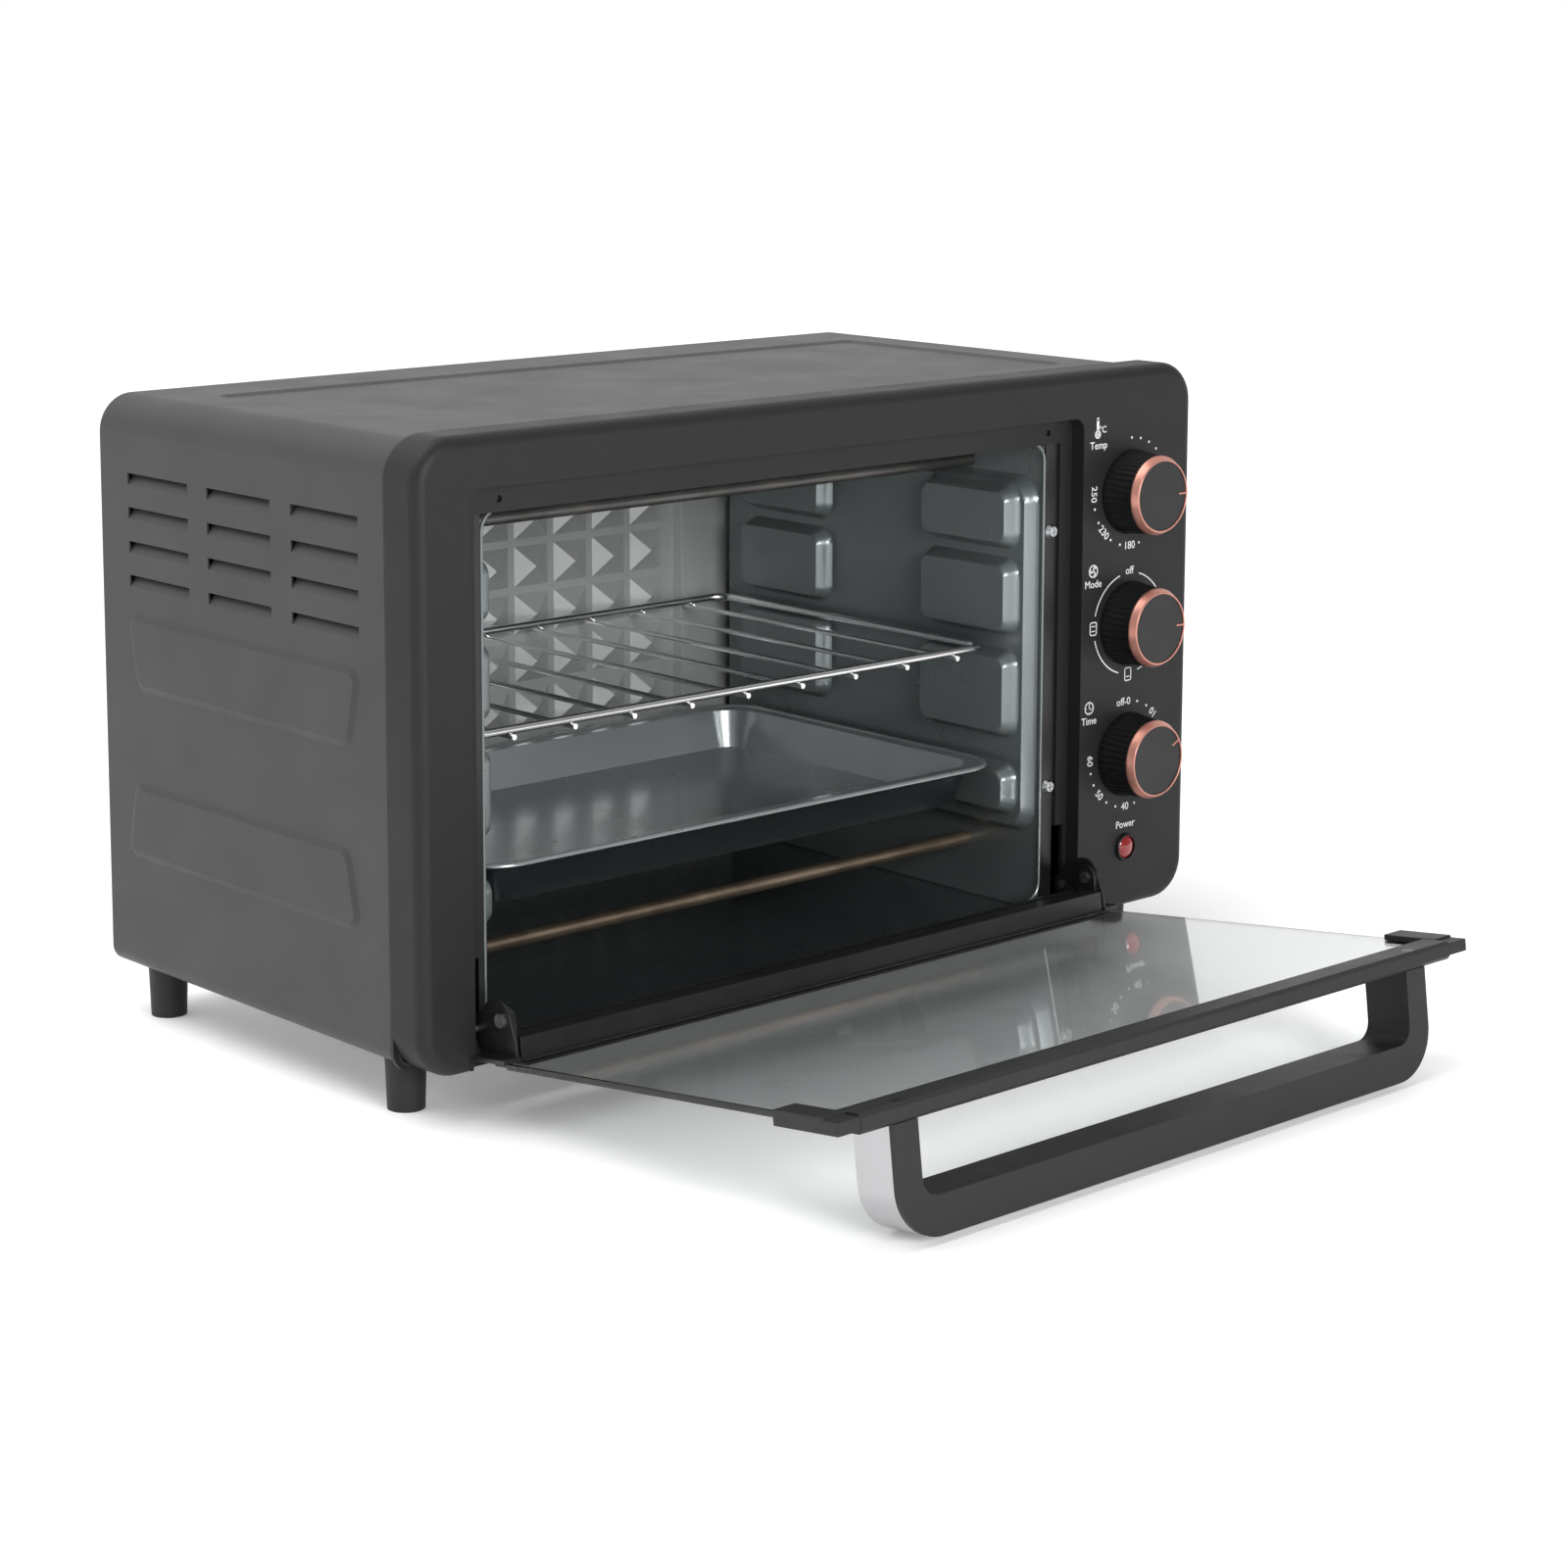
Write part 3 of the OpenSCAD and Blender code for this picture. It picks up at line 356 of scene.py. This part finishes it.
def lathe(work, profile, steps, place, ripple):
    """Turns a closed (radius, depth) profile about Y through place.

    ripple(angle, index) is added to the radius of the profile's point.
    """
    rings = []
    for step in range(steps):
        angle = 2 * math.pi * step / steps
        ring = []
        for index, (radius, depth) in enumerate(profile):
            r = radius + ripple(angle, index)
            ring.append(work.verts.new(
                place + Vector((r * math.sin(angle), depth, r * math.cos(angle)))))
        rings.append(ring)
    join_rings(work, rings)


FLUTES = 40
FLUTE_DEPTH = 0.55 * MM
BARREL_STEPS = FLUTES * 8
BARREL_TAPER = 1.6 * MM    # how much narrower the barrel is at the ring than at its base
BARREL_WALL = 4 * MM
BARREL_FACE = 3 * MM
SHAFT_HOLE = 3.2 * MM
FLARE_STEPS = 6
FLARE_POWER = 1.5


def add_knob(kind):
    """A fluted, flared barrel for one knob, in the space of its CAD node."""
    low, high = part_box(kind + "_knob_barrel")
    place = (low + high) / 2
    place.y = 0
    base, front = high.y, low.y
    base_r = (high.z - low.z) / 2
    ring_r = base_r - BARREL_TAPER
    side = [(ring_r - 0.1 * MM + BARREL_TAPER * (k / FLARE_STEPS) ** FLARE_POWER,
             front + (base - 0.6 * MM - front) * k / FLARE_STEPS)
            for k in range(FLARE_STEPS + 1)]
    face = [(SHAFT_HOLE, front + 0.1 * MM), (ring_r - 1.0 * MM, front)]
    inside = [(base_r - 0.4 * MM, base), (base_r - BARREL_WALL, base),
              (base_r - BARREL_WALL, front + BARREL_FACE), (SHAFT_HOLE, front + BARREL_FACE)]
    profile = face + side + inside
    fluted = range(len(face) + 1, len(face) + len(side))

    def ripple(angle, index):
        if index not in fluted:
            return 0.0
        return -FLUTE_DEPTH * (0.5 - 0.5 * math.cos(angle * FLUTES)) ** 2

    barrel = add_mesh(kind + "_knob_fluted_barrel",
                      lambda work: lathe(work, profile, BARREL_STEPS, place, ripple),
                      kind + "_knob", "black_plastic")
    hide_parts(kind + "_knob_barrel")


for kind in KNOBS:
    add_knob(kind)


# --- Pressed cavity walls ---

FRONT_Y = -122 * MM    # the oven's front face
BODY_Z = 23 * MM       # the body's underside
CELL = 1.0 * MM        # the wall grid's spacing

# Pressings, in mm behind the front face and above the body's underside.
FIELD = (13, 234, 41, 217)
PAD_COLUMNS = ((19, 83), (151, 216))
PAD_ROWS = ((50, 75.8), (88, 132), (138.5, 177), (181, 213))
FIELD_RISE, FIELD_CORNER = 7, 14
PAD_RISE, PAD_CORNER = 7.8, 9
RAMP = 4               # width of a pressing's sloped side
SHEET = 0.7 * MM
SHEET_PLANE = 0.8 * MM  # the flat sheet's inner face, from the CAD wall's outer face


def pressed(u, v, left, right, low, high, corner, ramp):
    """How far a rounded pressing stands at (u, v): 0 outside it, 1 on its flat top."""
    du = abs(u - (left + right) / 2) - (right - left) / 2 + corner
    dv = abs(v - (low + high) / 2) - (high - low) / 2 + corner
    inside = corner - math.hypot(max(du, 0), max(dv, 0)) - min(max(du, dv), 0)
    share = min(max(inside / ramp, 0), 1)
    return share * share * (3 - 2 * share)


def wall_height(u, v):
    """Height of the side wall above its sheet, at mm from the front face and the body's bottom."""
    height = FIELD_RISE * pressed(u, v, *FIELD, FIELD_CORNER, RAMP)
    for left, right in PAD_COLUMNS:
        for low, high in PAD_ROWS:
            height += PAD_RISE * pressed(u, v, left, right, low, high, PAD_CORNER, RAMP)
    return height


def add_side_wall(name, inward):
    """A pressed sheet in place of a CAD side wall; inward is the way into the cavity along X."""
    low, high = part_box(name)
    sheet_x = (high.x if inward < 0 else low.x) + inward * SHEET_PLANE
    columns = round((high.y - low.y) / CELL)
    rows = round((high.z - low.z) / CELL)

    def build(work):
        grid = []
        for row in range(rows + 1):
            line = []
            z = low.z + (high.z - low.z) * row / rows
            for column in range(columns + 1):
                y = low.y + (high.y - low.y) * column / columns
                height = wall_height((y - FRONT_Y) / MM, (z - BODY_Z) / MM) * MM
                line.append(work.verts.new((sheet_x + inward * height, y, z)))
            grid.append(line)
        for row in range(rows):
            for column in range(columns):
                work.faces.new((grid[row][column], grid[row][column + 1],
                                grid[row + 1][column + 1], grid[row + 1][column]))

    piece = add_mesh(name + "_pressing", build, "cabinet", "enamel")
    if (piece.data.polygons[0].normal.x > 0) != (inward > 0):
        piece.data.flip_normals()
    thickness = piece.modifiers.new("sheet", "SOLIDIFY")
    thickness.thickness = SHEET
    thickness.offset = -1
    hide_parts(name)


add_side_wall("cavity_left_wall", 1)
add_side_wall("cavity_right_wall", -1)


# --- Rim of the cavity and painted shadow line at the frame ---

RIM_RADIUS = 0.7 * MM
RIM_CORNER = 9 * MM
RIM_CORNER_STEPS = 10
RIM_SIDES = 10


def add_rim():
    """The rolled edge of the sheet round the cavity's opening."""
    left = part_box("cavity_left_wall")[0].x + 1.6 * MM
    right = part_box("cavity_right_wall")[1].x - 1.6 * MM
    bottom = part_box("front_frame")[0].z + 11.4 * MM
    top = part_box("cavity_right_wall")[1].z - 4 * MM
    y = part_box("cavity_flange")[0].y + 0.2 * MM
    path = rounded_outline((left, bottom), (right, top), RIM_CORNER, RIM_CORNER, RIM_CORNER_STEPS)
    deep = Vector((0, 1, 0))

    def build(work):
        rings = []
        for index, point in enumerate(path):
            before, after = path[index - 1], path[(index + 1) % len(path)]
            along = Vector((after[0] - before[0], 0, after[1] - before[1])).normalized()
            side = along.cross(deep)
            middle = Vector((point[0], y, point[1]))
            ring = []
            for k in range(RIM_SIDES):
                angle = 2 * math.pi * k / RIM_SIDES
                ring.append(work.verts.new(
                    middle + RIM_RADIUS * (math.cos(angle) * side + math.sin(angle) * deep)))
            rings.append(ring)
        join_rings(work, rings)

    add_mesh("cavity_rim", build, "cabinet", "enamel")


add_rim()

FRAME_DEPTH = 21 * MM
FRAME_LIP = 2.5 * MM        # how far the frame stands past the wrapper's sides and top
FRAME_LIP_BELOW = 2 * MM
WRAPPER_TOP_RADIUS = 17 * MM
WRAPPER_FOLD_RADIUS = 8 * MM
# The painted shadow line behind the frame's rear edge: a dark band standing in for the shade in
# the seam.
SEAM_SHADOW_DEPTH = 1.9 * MM
SEAM_SHADOW_RISE, SEAM_SHADOW_SINK = 2.2 * MM, 0.2 * MM
SEAM_SHADOW_CORNER_STEPS = 16


def add_painted_seam_shadow():
    """Painted shadow: a dark band between the wrapper and the front frame's rear edge, standing in
    for the shade in the seam.
    """
    low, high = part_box("front_frame")
    front = low.y + FRAME_DEPTH
    back = front + SEAM_SHADOW_DEPTH

    def outline(lift):
        """The wrapper's outline, grown by lift."""
        return rounded_outline(
            (low.x + FRAME_LIP - lift, low.z + FRAME_LIP_BELOW - lift),
            (high.x - FRAME_LIP + lift, high.z - FRAME_LIP + lift),
            WRAPPER_TOP_RADIUS + lift, WRAPPER_FOLD_RADIUS + lift, SEAM_SHADOW_CORNER_STEPS)

    def build(work):
        inner, outer = outline(-SEAM_SHADOW_SINK), outline(SEAM_SHADOW_RISE)
        rings = []
        for (in_x, in_z), (out_x, out_z) in zip(inner, outer):
            section = ((in_x, front, in_z), (out_x, front, out_z),
                       (out_x, back, out_z), (in_x, back, in_z))
            rings.append([work.verts.new(corner) for corner in section])
        join_rings(work, rings)

    add_mesh("painted_seam_shadow", build, "cabinet", "black_plastic")


add_painted_seam_shadow()

# --- Dial print ---

PANEL_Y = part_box("front_frame")[0].y
PRINT_T = 0.12 * MM        # how far the print stands on the panel
PRINT_SINK = 0.02 * MM
BOLD = 0.006               # outward offset of a letter's outline, as a share of its size

DIGIT = 5.4 * MM           # height of the dials' figures
LABEL = 5.2 * MM           # and of the words under the icons
DOT = 0.62 * MM
LINE = 0.6 * MM
THIN_LINE = 0.5 * MM
DIAL = 26.5 * MM           # from a knob's axis to its figures
BADGE = 34 * MM            # and to its word
ICON_RISE = 6.5 * MM       # from a word up to its icon
ICON_RADIUS = 2.9 * MM


def print_stroke(work, points, width, closed=False):
    """A flat printed line through (x, z) points on the panel."""
    count = len(points)
    rows = []
    for index, point in enumerate(points):
        before = points[(index - 1) % count if closed else max(index - 1, 0)]
        after = points[(index + 1) % count if closed else min(index + 1, count - 1)]
        along = Vector((after[0] - before[0], after[1] - before[1])).normalized()
        across = Vector((-along.y, along.x)) * width / 2
        rows.append([(point[0] + side * across.x, point[1] + side * across.y)
                     for side in (-1, 1)])
    last = count if closed else count - 1
    for index in range(last):
        a, b = rows[index], rows[(index + 1) % count]
        print_face(work, [a[0], b[0], b[1], a[1]])


def print_face(work, corners):
    """A closed thin tile standing on the panel's face."""
    lower = [work.verts.new((x, PANEL_Y + PRINT_SINK, z)) for x, z in corners]
    upper = [work.verts.new((x, PANEL_Y - PRINT_T, z)) for x, z in corners]
    work.faces.new(upper)
    work.faces.new(lower[::-1])
    for index in range(len(corners)):
        after = (index + 1) % len(corners)
        work.faces.new((lower[index], lower[after], upper[after], upper[index]))


def print_dot(work, centre, radius):
    print_face(work, circle_points(centre, radius, 0, 360, 16)[:-1])


def print_text(work, words, centre, size, turn=0.0):
    """Printed words, turned clockwise by degrees about their centre."""
    curve = bpy.data.curves.new("print", "FONT")
    curve.body = words
    curve.size = size
    curve.extrude = PRINT_T / 2
    curve.offset = size * BOLD
    curve.align_x = "CENTER"
    curve.align_y = "CENTER"
    curve.resolution_u = 3
    text = bpy.data.objects.new("print", curve)
    bpy.context.scene.collection.objects.link(text)
    text.matrix_world = (Matrix.Translation((centre[0], PANEL_Y - PRINT_T / 2, centre[1]))
                         @ Matrix.Rotation(math.radians(turn), 4, "Y")
                         @ Matrix.Rotation(math.radians(90), 4, "X"))
    bpy.context.view_layer.update()
    evaluated = text.evaluated_get(bpy.context.evaluated_depsgraph_get())
    mesh = bpy.data.meshes.new_from_object(evaluated)
    mesh.transform(text.matrix_world)
    work.from_mesh(mesh)
    bpy.data.meshes.remove(mesh)
    bpy.data.objects.remove(text)


def dial_place(node, radius, angle):
    """The (x, z) place round a knob's axis, angle in degrees clockwise from the top."""
    centre = box_centre(node)
    return (centre.x + radius * math.sin(math.radians(angle)),
            centre.z + radius * math.cos(math.radians(angle)))


# Each dial's knob node, the angles of its dots, and its figures with their angle and turn.
DIALS = (
    ("temperature_knob_barrel", (0, 14, 28, 42, 166, 196, 212, 240, 256),
     (("180", 181, 0), ("230", 226, 46), ("250", 272, 92))),
    ("timer_knob_barrel", (16, 32, 60, 74, 90, 166, 196, 212, 242, 256),
     (("off-0", -6, 0), ("10", 46, 226), ("40", 181, 0), ("50", 227, 46), ("60", 270, 92))),
)
FUNCTION_ARCS = ((16, 76), (104, 164), (196, 256), (284, 344))


def print_dials(work):
    for node, dots, figures in DIALS:
        for angle in dots:
            print_dot(work, dial_place(node, DIAL, angle), DOT)
        for words, angle, turn in figures:
            print_text(work, words, dial_place(node, DIAL, angle), DIGIT, turn)

    function = "function_knob_barrel"
    print_text(work, "off", dial_place(function, DIAL - 0.5 * MM, 0), DIGIT)
    centre = box_centre(function)
    for start, end in FUNCTION_ARCS:
        arc = circle_points((centre.x, centre.z), DIAL - 1.5 * MM, start, end, 24)
        print_stroke(work, arc, LINE)
    for angle, bars in ((270, 2), (180, 1)):
        print_box_icon(work, dial_place(function, DIAL - 1 * MM, angle), bars)

    for node, angle, words, icon, rise in (
            ("temperature_knob_barrel", -44, "Temp", print_thermometer, 8.5 * MM),
            (function, -50, "Mode", print_fan, ICON_RISE),
            ("timer_knob_barrel", -54, "Time", print_clock, ICON_RISE)):
        x, z = dial_place(node, BADGE, angle)
        print_text(work, words, (x, z), LABEL)
        icon(work, (x, z + rise))
    lamp = box_centre("lamp_bezel")
    print_text(work, "Power", (lamp.x, lamp.z + 11.5 * MM), LABEL)


def print_box_icon(work, centre, bars):
    """A rounded oven box with the heating bars that are on."""
    x, z = centre
    half_w, half_h, corner = 2.2 * MM, 3.1 * MM, 1.0 * MM
    bar, bar_half, spacing = -1.2 * MM, 1.3 * MM, 2.4 * MM
    outline = rounded_outline((x - half_w, z - half_h), (x + half_w, z + half_h),
                              corner, corner, 6)
    print_stroke(work, outline, 0.55 * MM, closed=True)
    for index in range(bars):
        level = z + bar + index * spacing
        print_stroke(work, [(x - bar_half, level), (x + bar_half, level)], THIN_LINE)


def print_thermometer(work, centre):
    """A bulb with its stem, and the unit beside it."""
    bulb = (centre[0] - 0.8 * MM, centre[1] - 3.0 * MM)
    print_stroke(work, circle_points(bulb, 1.6 * MM, 0, 360, 24)[:-1], 0.9 * MM, closed=True)
    print_dot(work, bulb, 0.7 * MM)
    stem = [(bulb[0], bulb[1] + 1.6 * MM), (bulb[0], bulb[1] + 7.4 * MM)]
    print_stroke(work, stem, 1.7 * MM)
    print_dot(work, stem[1], 0.85 * MM)
    print_text(work, "\u00b0C", (centre[0] + 2.8 * MM, centre[1] - 1.0 * MM), 4.6 * MM)


def print_icon_ring(work, centre):
    ring = circle_points(centre, ICON_RADIUS, 0, 360, 32)[:-1]
    print_stroke(work, ring, LINE, closed=True)


def on_circle(centre, radius, angle):
    """The (x, z) point at an angle in degrees clockwise from the top."""
    return circle_points(centre, radius, angle, angle + 1, 1)[0]


def print_fan(work, centre):
    """Three bent blades in a ring."""
    print_icon_ring(work, centre)
    for turn in (0, 120, 240):
        hub = on_circle(centre, 0.9 * MM, turn)
        middle = on_circle(centre, 2.0 * MM, turn + 12)
        tip = on_circle(centre, 2.2 * MM, turn + 55)
        print_stroke(work, [centre, hub, middle, tip], 0.8 * MM)


def print_clock(work, centre):
    """Two hands and four marks in a ring."""
    print_icon_ring(work, centre)
    print_stroke(work, [(centre[0], centre[1] + 1.9 * MM), centre], THIN_LINE)
    print_stroke(work, [centre, (centre[0] + 1.4 * MM, centre[1] - 0.9 * MM)], THIN_LINE)
    for angle in (0, 90, 180, 270):
        print_dot(work, on_circle(centre, 2.1 * MM, angle), 0.28 * MM)


add_mesh("dial_print", print_dials, "cabinet", "dial_print")


# --- Camera, light and floor ---


CAMERA_PLACE = (-1.0619, -1.2452, 0.4681)
CAMERA_DOWN, CAMERA_TURN, CAMERA_ROLL = 8.55, -42.40, 0.16    # degrees
TABLE_REACH = 12                 # half the floor's width, in metres
ROOM_FADE = (-0.55, 0.35)        # the Y of a direction over which the room turns from dim to white
ROOM_STRENGTH = (0.26, 1.0)      # the world's strength in front of the object and behind it


def add_camera():
    data = bpy.data.cameras.new("camera")
    data.lens = 79.74
    data.shift_y = -0.170
    camera = bpy.data.objects.new("camera", data)
    camera.location = CAMERA_PLACE
    camera.rotation_euler = (math.radians(90 - CAMERA_DOWN), 0, math.radians(CAMERA_TURN))
    camera.rotation_euler.rotate_axis("Z", math.radians(CAMERA_ROLL))
    bpy.context.scene.collection.objects.link(camera)
    bpy.context.scene.camera = camera


def add_light(name, place, target, size, power):
    data = bpy.data.lights.new(name, "AREA")
    data.shape = "RECTANGLE"
    data.size, data.size_y = size
    data.energy = power
    light = bpy.data.objects.new(name, data)
    light.location = place
    light.rotation_euler = (Vector(target) - Vector(place)).to_track_quat("-Z", "Y").to_euler()
    bpy.context.scene.collection.objects.link(light)


def add_sun(name, towards, spread, strength):
    """A soft, even light from one direction; spread in degrees."""
    data = bpy.data.lights.new(name, "SUN")
    data.angle = math.radians(spread)
    data.energy = strength
    sun = bpy.data.objects.new(name, data)
    sun.rotation_euler = Vector(towards).to_track_quat("Z", "Y").to_euler()
    bpy.context.scene.collection.objects.link(sun)


def add_stage():
    """The floor, the white room and the lights."""
    mesh = bpy.data.meshes.new("table")
    sides = ((-1, -1), (1, -1), (1, 1), (-1, 1))
    mesh.from_pydata([(x * TABLE_REACH, y * TABLE_REACH, 0) for x, y in sides],
                     [], [(0, 1, 2, 3)])
    table = bpy.data.objects.new("table", mesh)
    bpy.context.scene.collection.objects.link(table)
    paint(table, "table")
    world = bpy.data.worlds.new("studio")
    world.use_nodes = True
    tree = world.node_tree
    background = tree.nodes["Background"]
    background.inputs["Color"].default_value = (1, 1, 1, 1)
    # White behind the object, dimmer towards the front of the room.
    place = tree.nodes.new("ShaderNodeTexCoord")
    split = tree.nodes.new("ShaderNodeSeparateXYZ")
    fade = map_range(tree, ROOM_FADE, ROOM_STRENGTH)
    tree.links.new(place.outputs["Generated"], split.inputs["Vector"])
    tree.links.new(split.outputs["Y"], fade.inputs["Value"])
    tree.links.new(fade.outputs["Result"], background.inputs["Strength"])
    bpy.context.scene.world = world
    add_sun("overhead", (-0.38, 0.22, 1.0), 50, 1.5)
    add_light("cavity_fill", (-0.35, -1.7, 0.62), (0, 0.1, 0.1), (0.7, 0.5), 17)


bpy.context.scene.view_settings.view_transform = "Standard"
add_camera()
add_stage()
